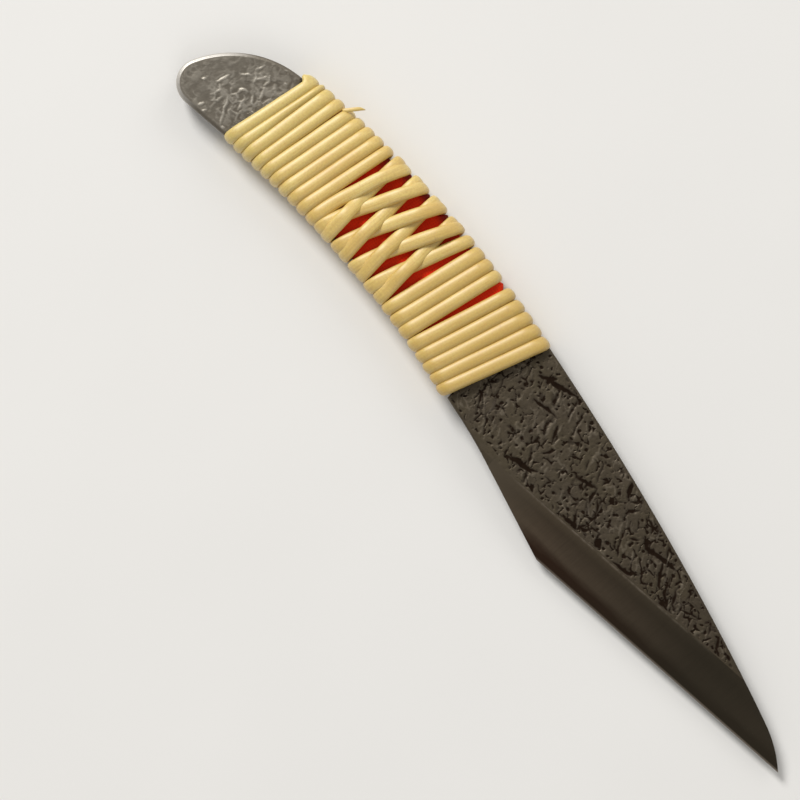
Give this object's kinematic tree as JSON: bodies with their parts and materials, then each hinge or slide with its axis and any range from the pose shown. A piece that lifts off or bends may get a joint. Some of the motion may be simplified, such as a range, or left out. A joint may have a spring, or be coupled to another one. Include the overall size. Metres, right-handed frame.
{
  "type": "kiridashi knife",
  "caption": "Forged kiridashi marking knife with a slanting bevel, a laminated hollow-ground back and a waisted tang bound in plaited rattan over a red underlay.",
  "frame": {"origin": "under the middle of the whole knife's box, on the surface the binding lies on", "axes": "+X from the tail to the tip, +Y from the cutting edge to the spine, +Z out of the show face"},
  "size_m": [0.1992, 0.0352, 0.0119],
  "materials": {
    "forged_iron": "brown-grey forge skin, pitted and cracked on the face, satin on the bevel",
    "edge_steel": "fine satin, darker and browner than the iron beside it",
    "red_underlay": "bright red, fine weave, dull",
    "rattan": "split cane, straw coloured, satin with pale highlights"
  },
  "bodies": {
    "root": {"blade_iron": "forged_iron", "blade_steel": "edge_steel", "underlay": "red_underlay", "rattan_tail_turns": "rattan", "rattan_plait": "rattan", "rattan_blade_turns": "rattan", "rattan_end": "rattan"}
  },
  "joints": []
}
